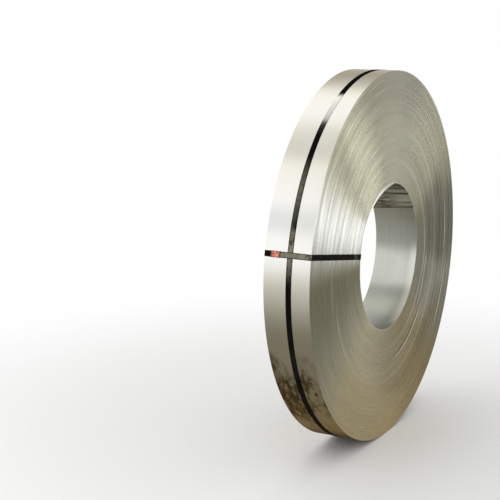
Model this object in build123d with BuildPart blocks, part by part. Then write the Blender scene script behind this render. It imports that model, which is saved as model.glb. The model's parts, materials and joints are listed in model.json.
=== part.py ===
from build123d import *

import os
from math import acos, atan2, copysign, cos, degrees, hypot, pi, radians, sin, sqrt

# A slit steel coil: narrow strip wound turn on turn around an open eye, standing on its rim.
# One steel strap is drawn round the rim and another through the eye, each closed by a crimped seal.
# The coil's axis is X, the floor is z = 0, and angles turn from +Y towards +Z as seen from +X.

# Strip and winding, in millimetres and degrees
bore_diameter = 508.0
strip_thickness = 2.0
strip_width = 158.0
turn_count = 192
turns_per_band = 16
telescoping = 1.4
inner_tail_angle = 31.5
outer_tail_angle = 20.0
tail_climb = 60.0

# Strapping and its seals
strap_width = 19.0
strap_thickness = 0.8
hoop_offset = 8.0
hoop_skew = 5.0
hoop_skew_angle = 95.0
eye_strap_angle = 170.0
lap_length = 62.0
seal_length = 32.0
seal_wall = 0.8
seal_play = 0.15
seal_slot = 5.0
crimp_radius = 1.8
crimp_pitch = 12.0
eye_seal_offset = -40.0
hoop_seal_angle = 55.0

# Sizes that follow from them
bore_radius = bore_diameter / 2
outer_radius = bore_radius + turn_count * strip_thickness
half_width = strip_width / 2
band_count = turn_count // turns_per_band
band_height = turns_per_band * strip_thickness
axis_height = outer_radius + strap_thickness
seal_inner_width = strap_width + 2 * seal_play
seal_outer_width = seal_inner_width + 2 * seal_wall
seal_height = seal_wall + 2 * strap_thickness + seal_play + seal_wall

# The coil's axis and its end view
coil_centre = Vector(0, 0, axis_height)
coil_axis = Axis(coil_centre, (1, 0, 0))
end_view = Plane(coil_centre, x_dir=(0, 1, 0), z_dir=(1, 0, 0))


def on_end(radius, angle):
    """The point of the end view at this distance and angle from the axis."""
    return radius * cos(radians(angle)), radius * sin(radians(angle))


def radial_plane(angle):
    """The plane through the axis at this angle, with x along the axis and y straight out from it."""
    across, up = on_end(1, angle)
    return Plane(coil_centre, x_dir=(1, 0, 0), z_dir=(0, -up, across))


def turn_outline(radius, root_radius, tail_angle, climb):
    """A turn seen from the end: round, then climbing by one strip thickness to the step at the strip's tail."""
    start = tail_angle + climb
    heading = on_end(copysign(1, -climb), start + 90)
    CenterArc((0, 0), radius, start, copysign(360, climb) - climb)
    TangentArc(on_end(radius, start), on_end(root_radius, tail_angle), tangent=heading)
    Line(on_end(root_radius, tail_angle), on_end(radius, tail_angle))


def band_shift(band):
    """How far the turns of one band have slid sideways on their neighbours: two waves across the build-up."""
    share = band / (band_count - 1)
    return telescoping * (0.6 * sin(2.6 * pi * share) + 0.4 * sin(6.4 * pi * share))


def section_outline(reach):
    """The half section, reaching past the bore and the rim. Both ends step alike: the strip has one width."""
    shifts = [band_shift(band) for band in range(band_count)]
    radii = [bore_radius + band * band_height for band in range(band_count + 1)]
    radii[0] -= reach
    radii[-1] += reach
    corners = [(shifts[band], radii[band + side]) for band in range(band_count) for side in (0, 1)]
    near_end = [(half_width + shift, radius) for shift, radius in corners]
    far_end = [(shift - half_width, radius) for shift, radius in reversed(corners)]
    Polyline(*near_end, *far_end, close=True)


# The wound strip: the first and last turns give the bore and the rim, and the bands step both ends
with BuildPart() as wound_strip:
    with BuildSketch(end_view.offset(-strip_width)):
        with BuildLine():
            turn_outline(outer_radius, outer_radius - strip_thickness, outer_tail_angle, -tail_climb)
        make_face()
        with BuildLine():
            turn_outline(bore_radius, bore_radius + strip_thickness, inner_tail_angle, tail_climb)
        make_face(mode=Mode.SUBTRACT)
    extrude(amount=2 * strip_width)
    with BuildSketch(radial_plane(90)):
        with BuildLine():
            section_outline(3 * strip_thickness)
        make_face()
    revolve(axis=coil_axis, mode=Mode.INTERSECT)

# The hoop strap is a ring on the rim that runs straight over the underside of its seal
seal_corner = (seal_length / 2, outer_radius + seal_wall)
lift_angle = atan2(*seal_corner) + acos(outer_radius / hypot(*seal_corner))


def hoop_outline(depth):
    """The hoop's line at this depth of strapping, with the seal at the top: an arc and the run over the seal."""
    radius = outer_radius + depth
    top = seal_corner[1] + depth
    foot = (radius * sin(lift_angle), radius * cos(lift_angle))
    bend = ((radius - top * cos(lift_angle)) / sin(lift_angle), top)
    Polyline(foot, bend, (-bend[0], bend[1]), (-foot[0], foot[1]))
    CenterArc((0, 0), radius, 90 + degrees(lift_angle), 360 - 2 * degrees(lift_angle))


def hoop_place(angle):
    """How far along the axis the hoop's middle lies at this angle: it was drawn tight a little askew."""
    return hoop_offset + hoop_skew * cos(radians(angle - hoop_skew_angle))


hoop_lean = degrees(atan2(hoop_skew, outer_radius))
hoop_centre = coil_centre + Vector(hoop_offset, 0, 0)
hoop_view = Plane(hoop_centre, x_dir=(0, *on_end(1, hoop_seal_angle - 90)), z_dir=(1, 0, 0))
with BuildPart() as hoop_strap:
    with BuildSketch(hoop_view):
        with BuildLine():
            hoop_outline(2 * strap_thickness)
        make_face()
        with Locations((0, outer_radius)):
            Rectangle(lap_length, lap_length, mode=Mode.INTERSECT)
        with BuildLine():
            hoop_outline(strap_thickness)
        make_face()
        with BuildLine():
            hoop_outline(0)
        make_face(mode=Mode.SUBTRACT)
    extrude(amount=strap_width, both=True)
    with BuildSketch(radial_plane(hoop_skew_angle)):
        with Locations((hoop_offset, 0)):
            Rectangle(strap_width, 4 * outer_radius, rotation=-hoop_lean)
    extrude(amount=2 * outer_radius, both=True, mode=Mode.INTERSECT)

# The eye strap is drawn over the hoop strap and its own seal, down both ends and flat across the round bore
bore_chord = sqrt(bore_radius**2 - (strap_width / 2) ** 2)
hoop_edge = hoop_place(eye_strap_angle) + strap_width / 2
with BuildSketch() as eye_core:
    with BuildLine():
        section_outline(0)
        Line((-half_width, bore_chord), (half_width, bore_chord))
        Line((eye_seal_offset - seal_length / 2, seal_corner[1]), (hoop_edge, seal_corner[1]))
    make_hull()

with BuildPart() as eye_strap:
    with BuildSketch(radial_plane(eye_strap_angle)):
        offset(eye_core.sketch, amount=2 * strap_thickness, kind=Kind.INTERSECTION)
        with Locations((eye_seal_offset, outer_radius)):
            Rectangle(lap_length, lap_length, mode=Mode.INTERSECT)
        offset(eye_core.sketch, amount=strap_thickness, kind=Kind.INTERSECTION, mode=Mode.ADD)
        add(eye_core.sketch, mode=Mode.SUBTRACT)
    extrude(amount=strap_width / 2, both=True)


def crimped_seal(seat, along, outward):
    """A sheet-steel seal folded round both strap ends, open along its underside and notched at its edges."""
    with BuildPart() as seal:
        with BuildSketch(Plane(seat, x_dir=Vector(outward).cross(Vector(along)), z_dir=along)):
            with Locations((0, seal_height / 2)):
                RectangleRounded(seal_outer_width, seal_height, seal_wall)
            with Locations((0, seal_height / 2)):
                Rectangle(seal_inner_width, seal_height - 2 * seal_wall, mode=Mode.SUBTRACT)
            Rectangle(seal_slot, 2 * seal_wall, mode=Mode.SUBTRACT)
        extrude(amount=seal_length / 2, both=True)
        with BuildSketch(Plane(seat, x_dir=along, z_dir=outward)):
            with GridLocations(crimp_pitch, seal_outer_width, 2, 2):
                Circle(crimp_radius)
        extrude(amount=seal_height, mode=Mode.SUBTRACT)
    return seal


hoop_seal = crimped_seal(
    coil_centre + Vector(hoop_place(hoop_seal_angle), *on_end(outer_radius, hoop_seal_angle)),
    along=(0, *on_end(1, hoop_seal_angle - 90)),
    outward=(0, *on_end(1, hoop_seal_angle)),
)
eye_seal = crimped_seal(
    coil_centre + Vector(eye_seal_offset, *on_end(outer_radius, eye_strap_angle)),
    along=(1, 0, 0),
    outward=(0, *on_end(1, eye_strap_angle)),
)

os.makedirs("parts", exist_ok=True)
pieces = {
    "wound_strip": wound_strip,
    "hoop_strap": hoop_strap,
    "eye_strap": eye_strap,
    "hoop_strap_seal": hoop_seal,
    "eye_strap_seal": eye_seal,
}
for name, piece in pieces.items():
    piece.part.label = name
    export_step(piece.part, f"parts/{name}.step")
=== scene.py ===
import json
from math import acos, atan2, cos, degrees, hypot, pi, radians, sin

import bpy
import numpy as np
from mathutils import Matrix, Vector


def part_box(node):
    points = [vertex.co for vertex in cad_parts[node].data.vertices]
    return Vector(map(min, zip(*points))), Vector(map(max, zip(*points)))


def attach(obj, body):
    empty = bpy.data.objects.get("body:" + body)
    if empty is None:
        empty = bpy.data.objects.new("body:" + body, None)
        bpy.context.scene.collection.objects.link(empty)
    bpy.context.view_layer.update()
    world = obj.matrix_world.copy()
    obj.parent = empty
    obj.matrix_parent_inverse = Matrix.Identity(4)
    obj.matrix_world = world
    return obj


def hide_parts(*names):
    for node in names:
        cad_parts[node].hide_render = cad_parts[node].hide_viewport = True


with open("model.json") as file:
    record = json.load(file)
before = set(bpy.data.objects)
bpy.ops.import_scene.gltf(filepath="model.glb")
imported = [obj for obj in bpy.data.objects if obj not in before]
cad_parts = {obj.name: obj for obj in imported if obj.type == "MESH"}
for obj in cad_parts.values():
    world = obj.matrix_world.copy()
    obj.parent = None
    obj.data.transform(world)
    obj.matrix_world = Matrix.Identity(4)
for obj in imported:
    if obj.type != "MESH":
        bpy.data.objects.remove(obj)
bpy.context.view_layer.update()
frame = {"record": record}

# The wound strip, its outer turns
# One long strip of cold-rolled steel, slit to width and wound on itself under tension. The face of its
# last turn makes the rim, and the sheared edges of its turns, some proud and some shy, make both ends.
eye = frame["record"]["mounts"][0]
axis_height = eye["pos_m"][2]
bore_radius = eye["dims"]["r_mm"] / 1000
strip_width = eye["dims"]["length_mm"] / 1000
strip_thickness = 0.002
turn_count = 192
slack_turns = 24
telescoping = 0.0014
group_scatter = 0.00008
turn_scatter = 0.00007
edge_fall_inner = 0.00018
edge_fall_outer = 0.00013
edge_fall_shared = 0.00002
edge_fall_scatter = 0.00004
edge_fall_limits = (0.00002, 0.0005)
outer_tail = radians(20)
tail_climb = radians(60)
tail_step = 0.95 * strip_thickness
tail_gap = 1e-4
outer_columns = 139
face_points = 14
outer_radius = bore_radius + turn_count * strip_thickness
half_width = strip_width / 2
chance = np.random.default_rng(11)


def shared_chance(count, neighbours=5):
    """Random values of spread one that neighbouring turns partly share: white noise under a bell."""
    bell = np.hanning(neighbours + 2)[1:-1]
    return np.convolve(chance.normal(0, 1, count + neighbours - 1), bell / hypot(*bell), "valid")


def turn_edges():
    """Sideways place and fall of each turn's edge: two waves across the build-up, and chance on top."""
    share = np.linspace(0, 1, turn_count)
    waves = 0.6 * np.sin(2.6 * pi * share) + 0.4 * np.sin(6.4 * pi * share)
    scatter = group_scatter * shared_chance(turn_count) + turn_scatter * chance.normal(0, 1, turn_count)
    fall = np.linspace(edge_fall_inner, edge_fall_outer, turn_count)
    fall += edge_fall_scatter * chance.normal(0, 1, turn_count)
    fall = np.clip(fall + edge_fall_shared * shared_chance(turn_count), *edge_fall_limits)
    low, high = (corner[0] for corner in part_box("wound_strip"))
    place = np.clip(telescoping * waves + scatter, low + half_width + fall, high - half_width - fall)
    return place, fall


edge_place, edge_fall = turn_edges()


def end_profile(first, last, side):
    """Radius and X along one end, two points a turn: each edge falls from its inner to its outer corner."""
    turn = np.arange(first, last)
    radius = bore_radius + strip_thickness * np.stack([turn, turn + 1], 1)
    fall = side * np.stack([edge_fall[turn], -edge_fall[turn]], 1)
    along = side * half_width + edge_place[turn][:, None] + fall
    return np.stack([radius.ravel(), along.ravel()], 1)


def face_profile(radius, start, end, count):
    """Radius and X across a turn's face, evenly spaced between the corners that the ends already have."""
    along = np.linspace(start, end, count + 2)[1:-1]
    return np.stack([np.full(count, radius), along], 1)


def tail_climb_at(angle, tail, climb):
    """How far a turn has left its circle on the way to the strip's tail: even from nothing to the step."""
    share = np.mod((tail - angle) / climb, 2 * pi / abs(climb))
    return tail_step * np.clip(1 - share, 0, 1)


def ring_points(radius, along, angle):
    """Points of the coil from radius, X and angle. The angle turns about the axis from +Y towards +Z."""
    y = radius * np.cos(angle)
    z = axis_height + radius * np.sin(angle)
    return np.stack(np.broadcast_arrays(along, y, z), -1)


def grid_piece(name, points, slots=None, closed_columns=True, uv=None, sharp_angle=radians(32)):
    """A piece of quads on a grid: its rows close on themselves, and its columns close or end in caps."""
    rows, columns = points.shape[:2]
    spans = columns if closed_columns else columns - 1
    row, column = np.indices((rows, spans))
    corner_rows = np.stack([row, row, row + 1, row + 1], -1) % rows
    corner_columns = np.stack([column, column + 1, column + 1, column], -1) % columns
    faces = (corner_rows * columns + corner_columns).reshape(-1, 4).tolist()
    if not closed_columns:
        first = np.arange(rows) * columns
        faces += [first.tolist(), (first + columns - 1)[::-1].tolist()]
    mesh = bpy.data.meshes.new(name)
    mesh.from_pydata(points.reshape(-1, 3), [], faces)
    mesh.polygons.foreach_set("use_smooth", np.ones(len(faces), bool))
    if slots is not None:
        mesh.polygons.foreach_set("material_index", np.repeat(slots, spans).astype(np.int32))
    if uv is not None:
        corners = np.empty(len(mesh.loops), np.int32)
        mesh.loops.foreach_get("vertex_index", corners)
        layer = mesh.uv_layers.new(name="along_across")
        layer.data.foreach_set("uv", uv.reshape(-1, 2)[corners].ravel())
    mesh.set_sharp_from_angle(angle=sharp_angle)
    mesh.update()
    piece = bpy.data.objects.new(name, mesh)
    bpy.context.scene.collection.objects.link(piece)
    return piece


def put(tree, kind, inputs=None, **settings):
    """A shader node with its settings, and each input either linked to a socket or set to a value."""
    node = tree.nodes.new(kind)
    for key, value in settings.items():
        setattr(node, key, value)
    for key, value in (inputs or {}).items():
        socket = next((s for s in node.inputs if s.identifier == key), None) or node.inputs[key]
        if isinstance(value, bpy.types.NodeSocket):
            tree.links.new(value, socket)
        else:
            socket.default_value = (*value, 1) if socket.type == "RGBA" else value
    return node


def calc(tree, operation, a, b=0.0, c=0.0):
    """The result of one Math node."""
    return put(tree, "ShaderNodeMath", {0: a, 1: b, 2: c}, operation=operation).outputs[0]


def times(tree, a, b):
    """The product of two values."""
    return calc(tree, "MULTIPLY", a, b)


def rest_of(tree, share):
    """What a share leaves of one."""
    return calc(tree, "SUBTRACT", 1.0, share)


def distance(tree, value, centre):
    """How far a value lies from a centre, either way."""
    return calc(tree, "ABSOLUTE", calc(tree, "SUBTRACT", value, centre))


def most(tree, largest, *others):
    """The largest of some values."""
    for other in others:
        largest = calc(tree, "MAXIMUM", largest, other)
    return largest


def ease(tree, value, low, high, to_low=0.0, to_high=1.0):
    """A value carried smoothly from one range to another and held at its ends."""
    inputs = {"Value": value, "From Min": low, "From Max": high, "To Min": to_low, "To Max": to_high}
    return put(tree, "ShaderNodeMapRange", inputs, interpolation_type="SMOOTHSTEP").outputs[0]


def sector(tree, angle, rise, fall, share=1.0):
    """A mask over a sector of degrees: it rises to a share between two angles and falls between two more."""
    return times(tree, ease(tree, angle, *rise, 0.0, share), ease(tree, angle, fall[1], fall[0]))


def tint(tree, share, colour, other):
    """One colour turned into another by a share."""
    inputs = {"Factor_Float": share, "A_Color": colour, "B_Color": other}
    node = put(tree, "ShaderNodeMix", inputs, data_type="RGBA")
    return next(s for s in node.outputs if s.identifier == "Result_Color")


def stretched(tree, place, factors):
    """A place with each of its axes scaled, so that a pattern on it is drawn out or squeezed."""
    return put(tree, "ShaderNodeVectorMath", {0: place, 1: factors}, operation="MULTIPLY").outputs[0]


def cloud(tree, place, scale, detail=4.0, roughness=0.55, low=0.3, high=0.7):
    """Noise at a place, spread over the range from nothing to one."""
    inputs = {"Vector": place, "Scale": scale, "Detail": detail, "Roughness": roughness}
    return ease(tree, put(tree, "ShaderNodeTexNoise", inputs).outputs[0], low, high)


def wandering(tree, value, noise, furthest):
    """A value moved by noise, up to this far either way."""
    return calc(tree, "ADD", value, calc(tree, "MULTIPLY_ADD", noise, 2 * furthest, -furthest))


def object_place(tree):
    """Where a point lies in the shared frame."""
    return put(tree, "ShaderNodeTexCoord").outputs["Object"]


def new_group(name, outputs):
    """An empty shader node group with named outputs, and the node that takes them."""
    tree = bpy.data.node_groups.new(name, "ShaderNodeTree")
    for label, kind in outputs.items():
        tree.interface.new_socket(label, in_out="OUTPUT", socket_type=kind)
    return tree, tree.nodes.new("NodeGroupOutput")


def placed(tree, name):
    """The outputs of a node group placed in a tree."""
    return put(tree, "ShaderNodeGroup", node_tree=bpy.data.node_groups[name]).outputs


def new_material(name):
    """A material with nodes, its tree and its Principled shader."""
    material = bpy.data.materials.new(name)
    material.use_nodes = True
    return material, material.node_tree, material.node_tree.nodes["Principled BSDF"]


def coil_polar():
    """Where a point lies on the coil: degrees from the top over the near side, metres along the axis and
    out from it, and a place on its ring that counts turns outwards."""
    kinds = {"Around": "Float", "Along": "Float", "Reach": "Float", "Ring Place": "Vector"}
    tree, out = new_group("coil_polar", {label: f"NodeSocket{kind}" for label, kind in kinds.items()})
    parts = put(tree, "ShaderNodeSeparateXYZ", {0: object_place(tree)}).outputs
    up = calc(tree, "SUBTRACT", parts["Z"], axis_height)
    radius = calc(tree, "SQRT", calc(tree, "MULTIPLY_ADD", up, up, calc(tree, "POWER", parts["Y"], 2)))
    angle = calc(tree, "DEGREES", calc(tree, "ARCTAN2", up, parts["Y"]))
    ring = {
        "X": calc(tree, "DIVIDE", radius, strip_thickness),
        "Y": calc(tree, "DIVIDE", parts["Y"], radius),
        "Z": calc(tree, "DIVIDE", up, radius),
    }
    around = calc(tree, "FLOORED_MODULO", calc(tree, "SUBTRACT", angle, 90), 360)
    tree.links.new(around, out.inputs["Around"])
    tree.links.new(parts["X"], out.inputs["Along"])
    tree.links.new(radius, out.inputs["Reach"])
    tree.links.new(put(tree, "ShaderNodeCombineXYZ", ring).outputs[0], out.inputs["Ring Place"])


def ring_streaks():
    """Streaks along the turns: noise drawn out round the axis, fine, broad, and painted highlights on
    a few.
    """
    kinds = {
        "Fine": ((0.5, 2.2, 2.2), 0.30, 0.70),
        "Broad": ((0.11, 1.2, 1.2), 0.30, 0.70),
        "Highlit": ((0.42, 1.6, 1.6), 0.64, 0.74),
    }
    tree, out = new_group("ring_streaks", dict.fromkeys(kinds, "NodeSocketFloat"))
    place = placed(tree, "coil_polar")["Ring Place"]
    for label, (factors, low, high) in kinds.items():
        drawn = stretched(tree, place, factors)
        tree.links.new(cloud(tree, drawn, 1.0, 3.0, low=low, high=high), out.inputs[label])


def yard_dirt():
    """Oil, dirt and painted light by angle and reach. An oil tint, partly a painted warm reflection,
    lies all round, but is left off high on the near side and off part of the far side. Film and dust
    lie below, partly a painted reflection of the floor, with painted shade below the strap. Smudges
    are rubbed on the low rim, and painted shade spreads in ragged fans from the eye, with a thin even
    shade on the far side."""
    kinds = ("Oil And Warm Reflection", "Film And Floor Shade", "Below Strap Shade", "Dust And Floor Reflection", "Smudge", "Shade Fans")
    tree, out = new_group("yard_dirt", dict.fromkeys(kinds, "NodeSocketFloat"))
    polar, place = placed(tree, "coil_polar"), object_place(tree)
    around, along, reach = polar["Around"], polar["Along"], polar["Reach"]
    from_bottom = distance(tree, around, 180)

    # The oil tint is partly a painted warm reflection; where it is left off:
    early_by_eye = calc(tree, "ADD", around, ease(tree, reach, 0.27, 0.38, 6, 0))
    untinted_near = times(tree, ease(tree, early_by_eye, 48, 69), ease(tree, around, 90, 80))
    untinted_far = sector(tree, around, (218, 238), (276, 292), 0.75)

    rubbed_on = stretched(tree, place, (1.7, 0.8, 0.8))
    blots = cloud(tree, rubbed_on, 30.0, 6.0, 0.64, 0.32, 0.68)
    thicker_far = calc(tree, "ADD", blots, ease(tree, along, 0.0, 0.05, 0.30, 0.0))
    patchy = ease(tree, thicker_far, 0.25, 0.95, 0.2, 1.0)
    ragged = wandering(tree, from_bottom, cloud(tree, rubbed_on, 13.0, 3.0), 5.0)
    lower_far = calc(tree, "SUBTRACT", from_bottom, ease(tree, along, 0.0, 0.04, 0, 9))
    low_rim = times(tree, ease(tree, ragged, 71, 61), ease(tree, lower_far, 32, 48, 0.25, 1.0))
    fainter_behind = ease(tree, around, 176, 190, 1.0, 0.45)

    # Painted shade in darker fans from the eye, over the bottom, the far side and the top.
    fans = wandering(tree, around, cloud(tree, place, 3.0), 6.0)
    swept = calc(tree, "ADD", fans, ease(tree, reach, 0.30, 0.60, 24, -16))
    far_fan = sector(tree, fans, (250, 266), (276, 300), 0.72)
    far_fan = times(tree, far_fan, ease(tree, reach, 0.27, 0.42, 0.3, 1.0))
    far_fan = times(tree, far_fan, ease(tree, reach, 0.52, 0.60, 1.0, 1.12))
    near_fan = sector(tree, fans, (40, 48), (50, 57), 0.28)
    near_fan = times(tree, near_fan, ease(tree, reach, 0.27, 0.40, 1.6, 1.0))
    eye_fan = sector(tree, fans, (210, 228), (260, 272), 0.2)
    eye_fan = times(tree, eye_fan, ease(tree, reach, 0.48, 0.41))
    low_fan = sector(tree, swept, (150, 200), (225, 250), 0.55)
    top_fan = ease(tree, from_bottom, 134, 169, 0.05, 0.42)
    top_fan = times(tree, top_fan, ease(tree, reach, 0.42, 0.60, 0.5, 1.25))
    fan = most(tree, low_fan, near_fan, far_fan, top_fan, eye_fan)
    far_side_shade = sector(tree, around, (202, 226), (286, 304), 0.25)

    masks = {
        "Oil And Warm Reflection": rest_of(tree, most(tree, untinted_near, untinted_far)),
        "Film And Floor Shade": ease(tree, from_bottom, 101, 75),
        "Below Strap Shade": sector(tree, around, (77, 91), (92, 144)),
        "Dust And Floor Reflection": ease(tree, from_bottom, 72, 28),
        "Smudge": times(tree, times(tree, patchy, low_rim), fainter_behind),
        "Shade Fans": calc(tree, "MULTIPLY_ADD", far_side_shade, rest_of(tree, fan), fan),
    }
    for label, mask in masks.items():
        tree.links.new(mask, out.inputs[label])


coil_polar()
ring_streaks()
yard_dirt()


def brushed_round_axis(tree, steel, anisotropy):
    """Sets a metal's highlights across the turns: its tangent runs round the axis, turned a quarter."""
    tangent = put(tree, "ShaderNodeTangent", direction_type="RADIAL", axis="X")
    tree.links.new(tangent.outputs[0], steel.inputs["Tangent"])
    steel.inputs["Anisotropic"].default_value = anisotropy
    steel.inputs["Anisotropic Rotation"].default_value = 0.25


# Each scuff on the near end: its reach, and the angles between which it runs
scuffs = [(0.337, 240, 290), (0.356, 222, 268), (0.384, 184, 240), (0.548, 244, 290), (0.570, 226, 264)]
scuff_fade = 16
groove_offset = 0.008


def sheared_edge_steel():
    """The ends: sheared edges of many turns, grey in rings that are lively high on the near side, where
    their stronger contrast is painted highlight, and calm on the far side. They are olive with an oil
    tint that is partly a painted warm reflection, lightened by a painted sheen high on the far side,
    dusty and lightened by painted light below, darkened by painted shade below the strap and in fans,
    and scuffed, with painted highlights on a few turns and at the eye's edge. The far end is more even
    than the near one."""
    bare_steel = (0.255, 0.249, 0.222), (0.51, 0.502, 0.458)
    oil_and_painted_light_colour = (0.30, 0.288, 0.205), (0.42, 0.404, 0.295)
    painted_sheen_colour = (0.53, 0.51, 0.39)
    dust_and_reflection_colour = (0.455, 0.35, 0.155)
    shade_below_strap_colour = (0.108, 0.10, 0.058)
    fan_shade_colour, dusty_fan_shade_colour = (0.13, 0.118, 0.078), (0.155, 0.118, 0.044)
    scuff_groove, scuff_ridge = (0.06, 0.055, 0.04), (0.62, 0.59, 0.49)
    highlight_colour = (0.60, 0.58, 0.53)
    liveliest = 1.6

    material, tree, steel = new_material("sheared_edge_steel")
    polar, streaks, dirt = (placed(tree, name) for name in ("coil_polar", "ring_streaks", "yard_dirt"))
    around, reach = polar["Around"], polar["Reach"]
    on_near_end = ease(tree, polar["Along"], -0.01, 0.01)

    calm = sector(tree, around, (150, 200), (335, 358), 0.9)
    over_top = most(tree, ease(tree, around, 330, 346, 0, 0.45), ease(tree, around, 14, 2, 0, 0.45))
    # In the lively sector the rings' stronger contrast stands for painted highlights.
    lively = times(tree, ease(tree, around, 8, 24, 0, liveliest), ease(tree, around, 66, 48, 0.35, 1.0))
    lively = times(tree, lively, ease(tree, around, 84, 74))
    quiet = calc(tree, "SUBTRACT", most(tree, calm, over_top), lively)
    tone = calc(tree, "MULTIPLY_ADD", streaks["Fine"], 0.45, times(tree, streaks["Broad"], 0.55))
    tone = calc(tree, "ADD", tone, times(tree, quiet, calc(tree, "SUBTRACT", 0.5, tone)))

    # The oil tint: dried oil, and partly a painted warm reflection.
    oil_and_painted_light = most(tree, dirt["Oil And Warm Reflection"], rest_of(tree, on_near_end))
    colour = tint(tree, oil_and_painted_light, tint(tree, tone, *bare_steel), tint(tree, tone, *oil_and_painted_light_colour))
    # Painted sheen: the rings are lightened high on the far side, most at mid reach.
    far_sheen = sector(tree, around, (292, 310), (328, 352), 0.4)
    far_sheen = times(tree, far_sheen, ease(tree, distance(tree, reach, 0.5), 0.07, 0.02, 1.0, 1.9))
    colour = tint(tree, far_sheen, colour, painted_sheen_colour)
    # Dust below, with painted light lifting the bottom where it reflects the shaded floor.
    dust_and_light = times(tree, dirt["Dust And Floor Reflection"], ease(tree, reach, 0.30, 0.58, 0.35, 0.75))
    dust_and_light = times(tree, dust_and_light, ease(tree, on_near_end, 0, 1, 0.6, 1.0))
    colour = tint(tree, dust_and_light, colour, dust_and_reflection_colour)
    # Painted shade on the near end, below the eye strap.
    shaded_below_strap = times(tree, dirt["Below Strap Shade"], ease(tree, reach, 0.26, 0.45, 0.84, 0.94))
    colour = tint(tree, times(tree, shaded_below_strap, on_near_end), colour, shade_below_strap_colour)
    # Painted shade in fans from the eye, browner where dust lies.
    fan_shaded = times(tree, dirt["Shade Fans"], ease(tree, on_near_end, 0, 1, 0.4, 1.0))
    colour = tint(tree, fan_shaded, colour, tint(tree, dirt["Dust And Floor Reflection"], fan_shade_colour, dusty_fan_shade_colour))

    broken = times(tree, on_near_end, ease(tree, streaks["Fine"], 0.1, 0.6, 0.4, 1.0))
    for scuff_reach, first, last in scuffs:
        scuffed = sector(tree, around, (first, first + scuff_fade), (last - scuff_fade, last))
        scuffed = times(tree, scuffed, broken)
        groove = ease(tree, distance(tree, reach, scuff_reach - groove_offset), 0.006, 0.002, 0, 0.5)
        colour = tint(tree, times(tree, scuffed, groove), colour, scuff_groove)
        ridge = ease(tree, distance(tree, reach, scuff_reach), 0.004, 0.0012)
        colour = tint(tree, times(tree, scuffed, ridge), colour, scuff_ridge)

    # Painted highlights on a few turns and along the eye's edge, strongest where rings are lively.
    highlit = times(tree, streaks["Highlit"], ease(tree, quiet, 0.9, 0, 0.4, 1.0))
    highlit = most(tree, highlit, ease(tree, reach, bore_radius + 0.004, bore_radius + 0.0015))
    highlit = times(tree, highlit, ease(tree, lively, 0, liveliest, 0.5, 0.9))
    tree.links.new(tint(tree, highlit, colour, highlight_colour), steel.inputs["Base Color"])
    rough = calc(tree, "MULTIPLY_ADD", calm, 0.12, ease(tree, streaks["Fine"], 0.0, 1.0, 0.22, 0.34))
    tree.links.new(rough, steel.inputs["Roughness"])
    grain = times(tree, streaks["Fine"], rest_of(tree, quiet))
    bump = put(tree, "ShaderNodeBump", {"Height": grain, "Strength": 0.08, "Distance": 0.0005})
    tree.links.new(bump.outputs[0], steel.inputs["Normal"])
    steel.inputs["Metallic"].default_value = 1.0
    brushed_round_axis(tree, steel, 0.8)
    return material


def rim_steel():
    """The rim: the strip's rolled face, pale and satin with an oil tint that is partly a painted warm
    reflection, darkened by painted shade over the top, greyer in a band on the near side with a painted
    highlight above it, filmed and dusty below with a painted reflection of the shaded floor, with umber
    smudges and a painted shadow at its foot."""
    clean_steel = (0.645, 0.64, 0.61), (0.69, 0.685, 0.665)
    oil_and_painted_light_colour = (0.63, 0.613, 0.53), (0.68, 0.665, 0.59)
    grey_band_colour = (0.30, 0.30, 0.29)
    shade_over_top_colour = (0.31, 0.298, 0.245)
    brown_film_and_floor_shade = (0.145, 0.12, 0.07)
    dust_and_reflection_colour = (0.285, 0.19, 0.055)
    umber = (0.020, 0.011, 0.003), (0.060, 0.036, 0.008)
    contact_shadow_colour = (0.075, 0.055, 0.042)

    material, tree, steel = new_material("rim_steel")
    around, dirt = placed(tree, "coil_polar")["Around"], placed(tree, "yard_dirt")
    from_top = calc(tree, "MINIMUM", around, calc(tree, "SUBTRACT", 360, around))
    mottle = cloud(tree, object_place(tree), 5.0, 5.0)
    # Painted highlight: the oil tint is taken off high on the near side, so the rim is paler there.
    rim_highlight = sector(tree, around, (20, 28), (34, 46), 0.6)
    oil_and_painted_light = calc(tree, "SUBTRACT", dirt["Oil And Warm Reflection"], rim_highlight)
    colour = tint(tree, oil_and_painted_light, tint(tree, mottle, *clean_steel), tint(tree, mottle, *oil_and_painted_light_colour))
    # A greyer band on the rim's near side.
    colour = tint(tree, sector(tree, around, (64, 70), (71, 77), 0.3), colour, grey_band_colour)
    # Painted shade: the rim is darkened over its top.
    colour = tint(tree, ease(tree, from_top, 28, 8, 0, 0.88), colour, shade_over_top_colour)
    # Film on the lower half, with a painted reflection of the shaded floor.
    colour = tint(tree, times(tree, dirt["Film And Floor Shade"], 0.87), colour, brown_film_and_floor_shade)
    # Dust below, with a painted brown reflection of the floor.
    colour = tint(tree, times(tree, dirt["Dust And Floor Reflection"], 0.8), colour, dust_and_reflection_colour)
    smudge = tint(tree, cloud(tree, object_place(tree), 30.0, 3.0), *umber)
    colour = tint(tree, times(tree, dirt["Smudge"], 0.93), colour, smudge)
    # Painted shadow at the rim's foot, where it meets the floor.
    colour = tint(tree, ease(tree, from_top, 143, 152, 0, 0.7), colour, contact_shadow_colour)
    tree.links.new(colour, steel.inputs["Base Color"])
    rough = calc(tree, "MULTIPLY_ADD", dirt["Film And Floor Shade"], 0.12, ease(tree, mottle, 0, 1, 0.28, 0.36))
    tree.links.new(rough, steel.inputs["Roughness"])
    caked = times(tree, most(tree, dirt["Smudge"], dirt["Dust And Floor Reflection"]), 0.7)
    tree.links.new(rest_of(tree, caked), steel.inputs["Metallic"])
    steel.inputs["Specular IOR Level"].default_value = 0.0
    steel.inputs["Specular Tint"].default_value = (0.78, 0.72, 0.62, 1)
    brushed_round_axis(tree, steel, 0.4)
    return material


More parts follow.
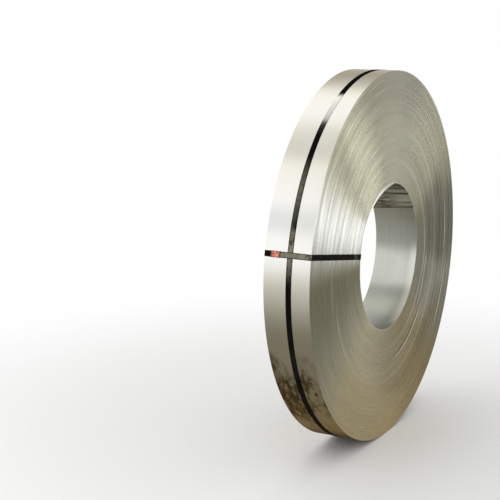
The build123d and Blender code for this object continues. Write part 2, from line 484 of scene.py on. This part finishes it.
outer_angles = np.linspace(0, 2 * pi, outer_columns, endpoint=False)
outer_angles = np.sort(np.append(outer_angles, [outer_tail - tail_gap, outer_tail + tail_gap]))
near_end = end_profile(slack_turns, turn_count, +1)
far_end = end_profile(slack_turns, turn_count, -1)[::-1]
rim = face_profile(outer_radius, near_end[-1, 1], far_end[0, 1], face_points)
core = face_profile(near_end[0, 0], far_end[-1, 1], near_end[0, 1], 1)
profile = np.concatenate([near_end, rim, far_end, core])
slots = np.zeros(len(profile), int)
slots[len(near_end) - 1 : len(near_end) + len(rim)] = 1
last_turn = profile[:, :1] > outer_radius - strip_thickness / 2
radius = profile[:, :1] - last_turn * tail_climb_at(outer_angles, outer_tail, tail_climb)
outer_turns = grid_piece("outer_turns", ring_points(radius, profile[:, 1:], outer_angles), slots)
outer_turns.data.materials.append(sheared_edge_steel())
outer_turns.data.materials.append(rim_steel())
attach(outer_turns, "root")
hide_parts("wound_strip")

# The wound strip, its slack inner turns
# The first turns wound on the mandrel, slack since it was drawn out. High on the near side they sag into
# the eye in a flat arch. The strip's tail, cropped a little out of square, is a lip under pressed creases.
inner_tail = radians(31.5)
arch_start, arch_end = radians(83), radians(133.5)
arch_sag = 0.42
arch_reach = 0.022
crop_skew = radians(1.6)
# Crease angles in degrees, each with its share of painted shade along it.
crease_shade = {37.5: 0.6, 49.3: 1.0, 58.0: 1.0, 66.0: 1.0, 74.0: 1.0}
# The painted shadow under the lip, just past the tail.
lip_shadow = {degrees(inner_tail) + 1.2: 0.7}
crease_angles = np.radians(list(crease_shade))
crease_depth = 0.0009
crease_width = radians(1.3)
relief_start, relief_end = 26, 140
relief_step, plain_step = 0.75, 3.0


def eye_wall_steel():
    """The eye's wall: the strip's rolled face, grey and drawn along its length, darkened by painted shade
    but for a band on the far side, with a painted highlight at its near edge. Above the askew tail it is
    filmed, with painted shade in the creases, under the lip and towards the far end, over oil streaks."""
    clean_steel = (0.40, 0.405, 0.365), (0.56, 0.565, 0.53)
    wall_shade_colour = (0.24, 0.24, 0.195)
    highlight_colour = (0.78, 0.78, 0.68)
    oil_film = (0.48, 0.435, 0.23)
    oil_and_painted_light_colour = (0.085, 0.078, 0.05)

    material, tree, steel = new_material("eye_wall_steel")
    polar, place = placed(tree, "coil_polar"), object_place(tree)
    around, along = polar["Around"], polar["Along"]
    turned = calc(tree, "MULTIPLY_ADD", along, -degrees(crop_skew) / half_width, around)
    above_tail = sector(tree, turned, (300.8, 302), (350, 357))
    blotches = times(tree, cloud(tree, place, 9.0, 5.0), 0.5)
    drawn = stretched(tree, place, (60, 3, 3))
    tone = calc(tree, "MULTIPLY_ADD", cloud(tree, drawn, 1.0, 3.0), 0.5, blotches)
    # Painted shade over sectors of the wall and towards its far end, lighter above the tail.
    wall_shade = most(
        tree,
        ease(tree, around, 253, 271, 0, 0.72),
        ease(tree, around, 241, 227, 0, 0.66),
        ease(tree, around, 255, 298, 0, 0.86),
        ease(tree, along, 0.03, -0.03, 0, 0.28),
    )
    wall_shade_above_tail = ease(tree, along, 0.0, 0.06, 0.65, 0.0)
    wall_shade = times(tree, wall_shade, ease(tree, turned, 301, 303, 1.0, wall_shade_above_tail))
    # Painted highlight: a bright band along the wall's near edge, from the bottom round the far side.
    highlit = sector(tree, around, (186, 198), (258, 276), 0.6)
    highlit = times(tree, highlit, ease(tree, along, 0.046, 0.078))
    colour = tint(tree, wall_shade, tint(tree, tone, *clean_steel), wall_shade_colour)
    colour = tint(tree, highlit, colour, highlight_colour)
    colour = tint(tree, times(tree, above_tail, 0.3), colour, oil_film)
    wavy = put(tree, "ShaderNodeCombineXYZ", {"X": turned, "Y": times(tree, along, 40)}).outputs[0]
    # Painted shade: dark lines in the creases and under the lip, darker towards the far end.
    oil_and_painted_light = cloud(tree, wavy, 0.5, 3.0, low=0.2, high=0.6)
    oil_and_painted_light = times(tree, ease(tree, along, -0.02, 0.05, 1.0, 0.12), oil_and_painted_light)
    oil_and_painted_light = most(tree, oil_and_painted_light, ease(tree, turned, 327, 333, 0, 0.7))
    for angle, share in {**lip_shadow, **crease_shade}.items():
        from_crease = distance(tree, turned, (angle - 90) % 360)
        oil_and_painted_light = most(tree, oil_and_painted_light, ease(tree, from_crease, 2.3, 0.8, 0, share))
    colour = tint(tree, times(tree, oil_and_painted_light, above_tail), colour, oil_and_painted_light_colour)
    tree.links.new(colour, steel.inputs["Base Color"])
    tree.links.new(ease(tree, tone, 0, 1, 0.26, 0.38), steel.inputs["Roughness"])
    steel.inputs["Metallic"].default_value = 1.0
    return material


def flat_arch(angle):
    """How far slack turns sag from the circle towards the straight chord between the arch's two feet."""
    middle, half = (arch_start + arch_end) / 2, (arch_end - arch_start) / 2
    inside = np.abs(angle - middle) < half
    chord = bore_radius * cos(half) / np.cos(np.where(inside, angle - middle, half))
    return np.where(inside, arch_sag * (bore_radius - chord), 0)


def creases(angle):
    """Ridges pressed across the wall above the inner tail, each a narrow bell over the angle."""
    away = (angle - crease_angles[:, None]) / crease_width
    return crease_depth * np.exp(-(away**2)).sum(0)


relief_angles = np.arange(relief_start, relief_end, relief_step)
plain_angles = np.arange(relief_end, relief_start + 360, plain_step)
inner_angles = np.radians(np.concatenate([relief_angles, plain_angles]))
inner_angles = np.sort(np.append(inner_angles, [inner_tail - tail_gap, inner_tail + tail_gap]))
near_end = end_profile(0, slack_turns, +1)
far_end = end_profile(0, slack_turns, -1)[::-1]
core = face_profile(near_end[-1, 0], near_end[-1, 1], far_end[0, 1], 1)
wall = face_profile(bore_radius, far_end[-1, 1], near_end[0, 1], face_points)
profile = np.concatenate([near_end, core, far_end, wall])
slots = np.zeros(len(profile), int)
slots[-len(wall) - 1 :] = 1
fade = np.exp(-(profile[:, :1] - bore_radius) / arch_reach)
on_wall = profile[:, :1] < bore_radius + strip_thickness / 2
lip = tail_climb_at(inner_angles, inner_tail, -tail_climb)
pressed = lip - creases(inner_angles) * (lip > 0)
turned = inner_angles + crop_skew * profile[:, 1:] / half_width
radius = profile[:, :1] - fade * flat_arch(turned) + on_wall * pressed
inner_turns = grid_piece("inner_turns", ring_points(radius, profile[:, 1:], turned), slots)
inner_turns.data.materials.append(bpy.data.materials["sheared_edge_steel"])
inner_turns.data.materials.append(eye_wall_steel())
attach(inner_turns, "root")
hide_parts("wound_strip")

# The hoop strap
# Steel strapping, baked black, drawn round the rim a little askew by a tensioner. Its ends lap at the
# back, where it climbs on its own start and runs straight over the floor of its seal.
strap_width = 0.019
strap_thickness = 0.0008
strap_corner = 0.0003
strap_crease = radians(10)
hoop_offset = 0.008
hoop_skew = 0.005
hoop_skew_angle = radians(95)
hoop_seal_angle = radians(55)
lap_length = 0.062
lap_climb = 0.030
seal_length = 0.032
seal_wall = 0.0008
seal_floor_corner = (seal_length / 2, outer_radius + seal_wall)
lift_angle = atan2(*seal_floor_corner) + acos(outer_radius / hypot(*seal_floor_corner))


def strap_section():
    """Across and depth round a strap's section: a rounded rectangle, four quarter circles pushed apart."""
    turn = np.radians(np.arange(15, 360, 30))
    across = (strap_width / 2 - strap_corner) * np.sign(np.cos(turn)) + strap_corner * np.cos(turn)
    depth = (strap_thickness / 2 - strap_corner) * np.sign(np.sin(turn)) + strap_corner * np.sin(turn)
    return across[:, None], strap_thickness / 2 + depth[:, None]


def hoop_radius(angle, depth):
    """The hoop's distance from the axis: a circle, a straight rise to the seal's floor, a flat over it."""
    away = np.abs(np.mod(angle - hoop_seal_angle + pi, 2 * pi) - pi)
    top = seal_floor_corner[1] + depth
    bend = np.arctan2((outer_radius + depth - top * cos(lift_angle)) / sin(lift_angle), top)
    rise = (outer_radius + depth) / np.cos(np.clip(lift_angle - away, 0, lift_angle))
    return np.where(away < bend, top / np.cos(np.minimum(away, bend)), rise)


def hoop_place(angle):
    """How far along X the hoop's middle lies: one wave round the coil, because its plane is askew."""
    return hoop_offset + hoop_skew * np.cos(angle - hoop_skew_angle)


def strap_enamel():
    """Black baked enamel on steel, scratched along its length and worn at its edges. A grey painted
    sheen lies high on the near side, thickest where the straps cross and fading towards the strap's
    edges, and a faint one on the ends near the eye; a little dust lies in patches and brown at the
    bottom. The gloss is left on one stretch high on the near side and on the far side."""
    black, scratched_black = (0.005, 0.005, 0.005), (0.045, 0.043, 0.038)
    brown_dust = (0.13, 0.06, 0.035)
    grey_dust_and_sheen = (0.19, 0.172, 0.14), (0.235, 0.236, 0.165)
    worn_steel = (0.22, 0.205, 0.175)
    half_strap = strap_width / 2

    material, tree, paint = new_material("strap_enamel")
    uv = put(tree, "ShaderNodeUVMap", uv_map="along_across").outputs[0]
    across = put(tree, "ShaderNodeSeparateXYZ", {0: uv}).outputs["Y"]
    from_middle = calc(tree, "ABSOLUTE", across)
    place, polar = object_place(tree), placed(tree, "coil_polar")
    around, reach = polar["Around"], polar["Reach"]
    on_rim = ease(tree, reach, outer_radius - 0.004, outer_radius)

    # Painted sheen: grey high on the near side and where the straps cross, past the seal.
    sheen_patch = times(tree, ease(tree, around, 50, 61, 0, 0.55), ease(tree, around, 71, 63, 0.3, 1.0))
    crossing = ease(tree, around, 70, 76)
    strap_sheen = times(tree, most(tree, sheen_patch, crossing), ease(tree, around, 89, 80))
    past_seal = times(tree, on_rim, ease(tree, polar["Along"], -0.026, -0.020))
    toward_middle = ease(tree, from_middle, half_strap, 0.0055, 0.08, 1.0)
    grain = times(tree, cloud(tree, place, 75.0, 5.0, low=0.22, high=0.56), toward_middle)
    strap_sheen = times(tree, times(tree, past_seal, strap_sheen), grain)
    patches = times(tree, cloud(tree, place, 11.0, 5.0, low=0.50, high=0.72), 0.025)
    # Painted highlight: the strap off the rim is greyed faintly, most near the eye.
    from_eye_highlight = distance(tree, reach, bore_radius + 0.045)
    eye_end_highlight = times(tree, rest_of(tree, on_rim), ease(tree, from_eye_highlight, 0.022, 0.006, 0.032, 0.22))
    dust_and_sheen = most(tree, patches, eye_end_highlight, strap_sheen)

    drawn = stretched(tree, uv, (12.0, 1500.0, 1.0))
    scratch = times(tree, cloud(tree, drawn, 1.0, 4.0, low=0.56, high=0.68), 0.2)
    colour = tint(tree, scratch, black, scratched_black)
    colour = tint(tree, times(tree, placed(tree, "yard_dirt")["Dust And Floor Reflection"], 0.08), colour, brown_dust)
    colour = tint(tree, dust_and_sheen, colour, tint(tree, cloud(tree, place, 45.0, 2.0), *grey_dust_and_sheen))
    edge = ease(tree, from_middle, half_strap - 0.0012, half_strap)
    worn = times(tree, edge, cloud(tree, place, 70.0, 3.0, low=0.5, high=0.7))
    colour = tint(tree, times(tree, worn, 0.25), colour, worn_steel)
    tree.links.new(colour, paint.inputs["Base Color"])
    paint.inputs["Roughness"].default_value = 0.5
    paint.inputs["Specular IOR Level"].default_value = 0.0
    clear_stretch = sector(tree, around, (24.5, 28), (35, 44.5))
    far_side = sector(tree, around, (190, 215), (322, 338), 0.6)
    tree.links.new(most(tree, clear_stretch, far_side), paint.inputs["Coat Weight"])
    paint.inputs["Coat Roughness"].default_value = 0.12
    return material


black_enamel = strap_enamel()


def dress_strap(piece, node):
    """Paints a strap's piece and gives it the place of its node."""
    piece.data.materials.append(black_enamel)
    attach(piece, "root")
    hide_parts(node)


half_lap = lap_length / 2 / outer_radius
near_seal = np.linspace(-4, 4, 33)
from_seal = np.radians(np.concatenate([near_seal, np.linspace(5, 355, 251), 360 + near_seal]))
from_seal = from_seal[(from_seal >= -half_lap) & (from_seal <= 2 * pi + half_lap)]
hoop_angles = hoop_seal_angle + from_seal
across, depth = strap_section()
climbed = np.clip((from_seal - 2 * pi + half_lap) * outer_radius / lap_climb + 1, 0, 1)
climbed = climbed**2 * (3 - 2 * climbed)
hoop_radii = hoop_radius(hoop_angles, depth + strap_thickness * climbed)
hoop_points = ring_points(hoop_radii, hoop_place(hoop_angles) + across, hoop_angles)
hoop_uv = np.stack(np.broadcast_arrays(hoop_angles * outer_radius, across), -1)
hoop_band = grid_piece("hoop_band", hoop_points, closed_columns=False, uv=hoop_uv, sharp_angle=strap_crease)
dress_strap(hoop_band, "hoop_strap")

# The eye strap
# The same strapping, passed through the eye and drawn tight round the coil's section, over the hoop strap.
# It bends sharply at the rim and at the eye, and its ends lap under a painted seal on the rim.
eye_strap_angle = radians(170)
eye_seal_offset = -0.040
first_heading = radians(91)
heading_step = radians(0.02)
bend_step = radians(7.5)
lap_columns = 32
out = np.array([cos(eye_strap_angle), sin(eye_strap_angle)])
sideways = np.array([-out[1], out[0]])


def outward(heading):
    """The unit vector at this heading in the plane of X and distance from the axis."""
    return np.stack([np.cos(heading), np.sin(heading)], -1)


def taut_headings(corners):
    """Headings that draw a tight strap: both ends of each straight run, and an even spread between them."""
    sweep = np.arange(first_heading, first_heading + 2 * pi, heading_step)
    furthest = np.argmax(outward(sweep) @ corners.T, -1)
    turning = sweep[furthest != np.roll(furthest, 1)]
    spread = np.arange(first_heading, first_heading + 2 * pi, bend_step)
    return np.unique(np.concatenate([turning - heading_step, turning, spread]))


def taut_line(heading, corners, depth):
    """A strap drawn tight round corners: the furthest corner at each heading, pushed out by the depth."""
    furthest = corners[np.argmax(outward(heading) @ corners.T, -1)]
    return furthest + depth[..., None] * outward(heading)


def through_eye(along, radius, across):
    """Points of the eye strap from X, distance from the axis, and distance across the strap."""
    y = radius * out[0] + across * sideways[0]
    z = axis_height + radius * out[1] + across * sideways[1]
    return np.stack(np.broadcast_arrays(along, y, z), -1)


hoop_edge = hoop_place(eye_strap_angle) + strap_width / 2
seal_edge = eye_seal_offset - seal_length / 2
bore_chord = (bore_radius**2 - strap_width**2 / 4) ** 0.5
corner_radius = bore_radius + strip_thickness * np.arange(turn_count)
near_corners = np.stack([half_width + edge_place + edge_fall, corner_radius], 1)
far_corners = np.stack([edge_place - edge_fall - half_width, corner_radius], 1)
rim_corners = [[half_width + edge_place[-1], outer_radius], [edge_place[-1] - half_width, outer_radius]]
lifted = [[hoop_edge, outer_radius + strap_thickness], [seal_edge, seal_floor_corner[1]]]
chord_corners = [[half_width + edge_place[0], bore_chord], [edge_place[0] - half_width, bore_chord]]
corners = np.concatenate([near_corners, far_corners, rim_corners, lifted, chord_corners])
across, depth = strap_section()
line = taut_line(taut_headings(corners), corners, depth)
run = np.cumsum(np.hypot(*np.diff(line[0], axis=0, prepend=line[0][-1:]).T))
eye_points = through_eye(line[..., 0], line[..., 1], across)
eye_uv = np.stack(np.broadcast_arrays(run, across), -1)
eye_band = grid_piece("eye_band", eye_points, uv=eye_uv, sharp_angle=strap_crease)
dress_strap(eye_band, "eye_strap")

lap = eye_seal_offset + np.linspace(-lap_length / 2, lap_length / 2, lap_columns)
slope_along = [edge_place[-1] - half_width, seal_edge, hoop_edge]
slope_radius = outer_radius + np.array([0, seal_wall, seal_wall])
lap_radius = np.interp(lap, slope_along, slope_radius) + strap_thickness + depth
lap_points = through_eye(lap, lap_radius, across)
lap_uv = np.stack(np.broadcast_arrays(lap, across), -1)
eye_lap = grid_piece("eye_band_lap", lap_points, closed_columns=False, uv=lap_uv, sharp_angle=strap_crease)
dress_strap(eye_lap, "eye_strap")

# The two seals
# Sheet steel folded round both ends of a strap, open along its underside, and crimped twice so that it
# bites. The one on the eye strap is painted red, and the one on the hoop strap, at the back, is waxed dark.
seal_play = 0.00015
seal_slot = 0.005
seal_bend = 0.0007
bend_points = 5
seal_columns = 65
crimp_places = np.array([-0.006, 0.006])
crimp_width = 0.0014
crimp_pinch = 0.075
crimp_dent = 0.00035
seal_height = 2 * seal_wall + 2 * strap_thickness + seal_play


def seal_section():
    """Across and depth round a folded seal: a rounded rectangle cut open below, outside and then inside."""
    bends = np.radians(np.append(np.linspace(270, 180, bend_points), np.linspace(180, 90, bend_points)))
    bends = np.concatenate([bends, pi - bends[::-1]])
    half_across = strap_width / 2 + seal_play + seal_wall / 2 - seal_bend
    half_depth = seal_height / 2 - seal_wall / 2 - seal_bend
    side = np.repeat([-1, -1, 1, 1], bend_points)
    top = np.repeat([-1, 1, 1, -1], bend_points)
    normal = np.stack([np.cos(bends), np.sin(bends)], 1)
    middle = np.stack([side * half_across, top * half_depth], 1) + seal_bend * normal
    ends = np.array([[-seal_slot / 2, -half_depth - seal_bend], [seal_slot / 2, -half_depth - seal_bend]])
    middle = np.concatenate([ends[:1], middle, ends[1:]])
    normal = np.concatenate([[[0, -1]], normal, [[0, -1]]])
    loop = np.concatenate([middle + seal_wall / 2 * normal, (middle - seal_wall / 2 * normal)[::-1]])
    return loop[:, :1], seal_height / 2 + loop[:, 1:]


def folded_seal(name, seat, along, outward):
    """A seal's section carried along its strap, pinched in and dented at its crimps by narrow bells."""
    run = np.linspace(-seal_length / 2, seal_length / 2, seal_columns)
    bell = np.exp(-(((run - crimp_places[:, None]) / crimp_width) ** 2)).sum(0)
    across, depth = seal_section()
    across = across * (1 - crimp_pinch * bell)
    depth = depth - crimp_dent * bell * (depth > seal_height / 2)
    sideways = np.cross(outward, along)
    points = seat + run[:, None] * along + across[..., None] * sideways + depth[..., None] * outward
    uv = np.stack(np.broadcast_arrays(run, across), -1)
    return grid_piece(name, points, closed_columns=False, uv=uv)


def seal_paint(name, paint_colour, faded_colour, crimp_and_end_shade, bare_share):
    """Thin paint over sheet steel: clouded, with painted shade at its ends and in its crimps, rubbed to
    bare flecks.
    """
    bare_steel = (0.20, 0.185, 0.165)

    material, tree, paint = new_material(name)
    place = object_place(tree)
    uv = put(tree, "ShaderNodeUVMap", uv_map="along_across").outputs[0]
    parts = put(tree, "ShaderNodeSeparateXYZ", {0: uv}).outputs
    along, across = (calc(tree, "ABSOLUTE", parts[axis]) for axis in "XY")
    clouded = cloud(tree, place, 110.0, 3.0, low=0.36, high=0.64)
    colour = tint(tree, clouded, paint_colour, faded_colour)
    # Painted shade in the crimps and at the ends.
    from_crimp = distance(tree, along, crimp_places[1])
    crimped = ease(tree, from_crimp, 2.2 * crimp_width, 0.8 * crimp_width)
    crimped = times(tree, crimped, ease(tree, across, 0.003, 0.008))
    ends = ease(tree, along, seal_length * 0.24, seal_length * 0.47)
    colour = tint(tree, times(tree, most(tree, crimped, ends), 0.95), colour, crimp_and_end_shade)
    chips = times(tree, cloud(tree, place, 320.0, 5.0, 0.6, 0.55, 0.66), bare_share)
    tree.links.new(tint(tree, chips, colour, bare_steel), paint.inputs["Base Color"])
    tree.links.new(chips, paint.inputs["Metallic"])
    tree.links.new(ease(tree, chips, 0, 1, 0.34, 0.46), paint.inputs["Roughness"])
    return material


def on_rim(x, angle):
    """The point of the rim at this X and angle."""
    return ring_points(np.array(outer_radius), np.array(x), np.array(angle))


def dress_seal(piece, material, node):
    """Finishes a seal's piece and gives it the place of its node."""
    piece.data.materials.append(material)
    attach(piece, "root")
    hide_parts(node)


eye_seat = on_rim(eye_seal_offset, eye_strap_angle)
eye_seal = folded_seal("eye_seal", eye_seat, np.array([1.0, 0, 0]), np.array([0, *out]))
red = seal_paint("red_seal_paint", (0.52, 0.055, 0.035), (0.80, 0.34, 0.19), (0.06, 0.006, 0.005), 0.6)
dress_seal(eye_seal, red, "eye_strap_seal")

hoop_out = np.array([0, cos(hoop_seal_angle), sin(hoop_seal_angle)])
hoop_along = np.array([0, sin(hoop_seal_angle), -cos(hoop_seal_angle)])
hoop_seat = on_rim(hoop_place(hoop_seal_angle), hoop_seal_angle)
hoop_seal = folded_seal("hoop_seal", hoop_seat, hoop_along, hoop_out)
waxed = seal_paint("waxed_seal", (0.05, 0.05, 0.047), (0.085, 0.083, 0.077), (0.018, 0.017, 0.015), 1.0)
dress_seal(hoop_seal, waxed, "hoop_strap_seal")

# The studio
# A pale floor that fades into a white surround, soft boxes, and a camera where the photograph was taken
# from. One narrow box lights the hoop strap alone, and leaves the glint on its glossy stretch.
camera_azimuth, camera_elevation = radians(23.08), radians(11.60)
camera_distance = 7.049 * outer_radius
aim_azimuth, aim_elevation = radians(28.465), radians(11.455)
focal_length, sensor_width = 92.5, 36.0
coil_centre = Vector((0, 0, axis_height))


def from_angles(azimuth, elevation):
    """The direction from the coil towards a place at this azimuth and elevation."""
    return Vector((sin(azimuth) * cos(elevation), -cos(azimuth) * cos(elevation), sin(elevation)))


camera = bpy.data.objects.new("camera", bpy.data.cameras.new("camera"))
camera.data.lens, camera.data.sensor_width = focal_length, sensor_width
camera.location = coil_centre + camera_distance * from_angles(camera_azimuth, camera_elevation)
camera.rotation_mode = "QUATERNION"
camera.rotation_quaternion = (-from_angles(aim_azimuth, aim_elevation)).to_track_quat("-Z", "Y")
bpy.context.scene.collection.objects.link(camera)
bpy.context.scene.camera = camera

floor_half, floor_whole, floor_gone = 4.0, 0.9, 2.3
surround_light = 0.9


def pale_floor():
    """A matt pale floor, whole near the coil and fading out with distance."""
    material, tree, paint = new_material("pale_floor")
    paint.inputs["Base Color"].default_value = (0.87, 0.87, 0.86, 1)
    paint.inputs["Roughness"].default_value = 0.7
    away = put(tree, "ShaderNodeVectorMath", {0: object_place(tree)}, operation="LENGTH").outputs["Value"]
    gone = ease(tree, away, floor_whole, floor_gone)
    clear = put(tree, "ShaderNodeBsdfTransparent").outputs[0]
    faded = put(tree, "ShaderNodeMixShader", {0: gone, 1: paint.outputs[0], 2: clear})
    tree.links.new(faded.outputs[0], tree.nodes["Material Output"].inputs["Surface"])
    return material


floor_mesh = bpy.data.meshes.new("floor")
floor_corners = floor_half * np.array([[-1, -1, 0], [1, -1, 0], [1, 1, 0], [-1, 1, 0]])
floor_mesh.from_pydata(floor_corners, [], [(0, 1, 2, 3)])
floor_mesh.materials.append(pale_floor())
floor = bpy.data.objects.new("floor", floor_mesh)
bpy.context.scene.collection.objects.link(floor)

world = bpy.data.worlds.new("surround")
bpy.context.scene.world = world
world.use_nodes = True
tree = world.node_tree
rays = put(tree, "ShaderNodeLightPath").outputs
seen = most(tree, rays["Is Glossy Ray"], rays["Is Transmission Ray"], rays["Is Camera Ray"])
surround = tree.nodes["Background"]
surround.inputs["Color"].default_value = (1, 1, 1, 1)
tree.links.new(ease(tree, seen, 0, 1, surround_light, 1.0), surround.inputs["Strength"])


def soft_box(name, place, width, height, radiance, upright=(0, 0, 1), colour=(1, 1, 1)):
    """A rectangular lamp at a place, turned to face the coil, with a power that follows its area."""
    lamp = bpy.data.lights.new(name, "AREA")
    lamp.shape, lamp.size, lamp.size_y = "RECTANGLE", width, height
    lamp.energy = 4 * radiance * width * height
    lamp.color = colour
    box = bpy.data.objects.new(name, lamp)
    away = (Vector(place) - coil_centre).normalized()
    across = Vector(upright).cross(away).normalized()
    box.rotation_mode = "QUATERNION"
    box.rotation_quaternion = Matrix((across, away.cross(across), away)).transposed().to_quaternion()
    box.location = place
    box.visible_camera = False
    bpy.context.scene.collection.objects.link(box)
    return box


soft_box("key_box", (-1.33, -1.87, 1.60), 1.8, 2.83, 0.42, upright=(0, 0.66, 0.75))
soft_box("top_box", (-1.29, 0.63, 3.4), 1.8, 1.9, 0.42, upright=(0, 1, 0))
soft_box("side_box", (2.13, 1.78, 0.50), 1.7, 0.43, 1.95, colour=(0.90, 0.94, 1))
soft_box("far_box", (1.81, 2.16, 1.10), 0.6, 0.24, 2.1)
strip_box = soft_box(
    "strip_box",
    (-0.989, 0.423, 3.224),
    0.25,
    1.17,
    7.0,
    upright=(-0.023, -0.972, 0.232),
    colour=(1, 0.985, 0.86),
)
strip_box.light_linking.receiver_collection = bpy.data.collections.new("lit_by_strip_box")
strip_box.light_linking.receiver_collection.objects.link(hoop_band)

bpy.context.scene.view_settings.view_transform = "Standard"
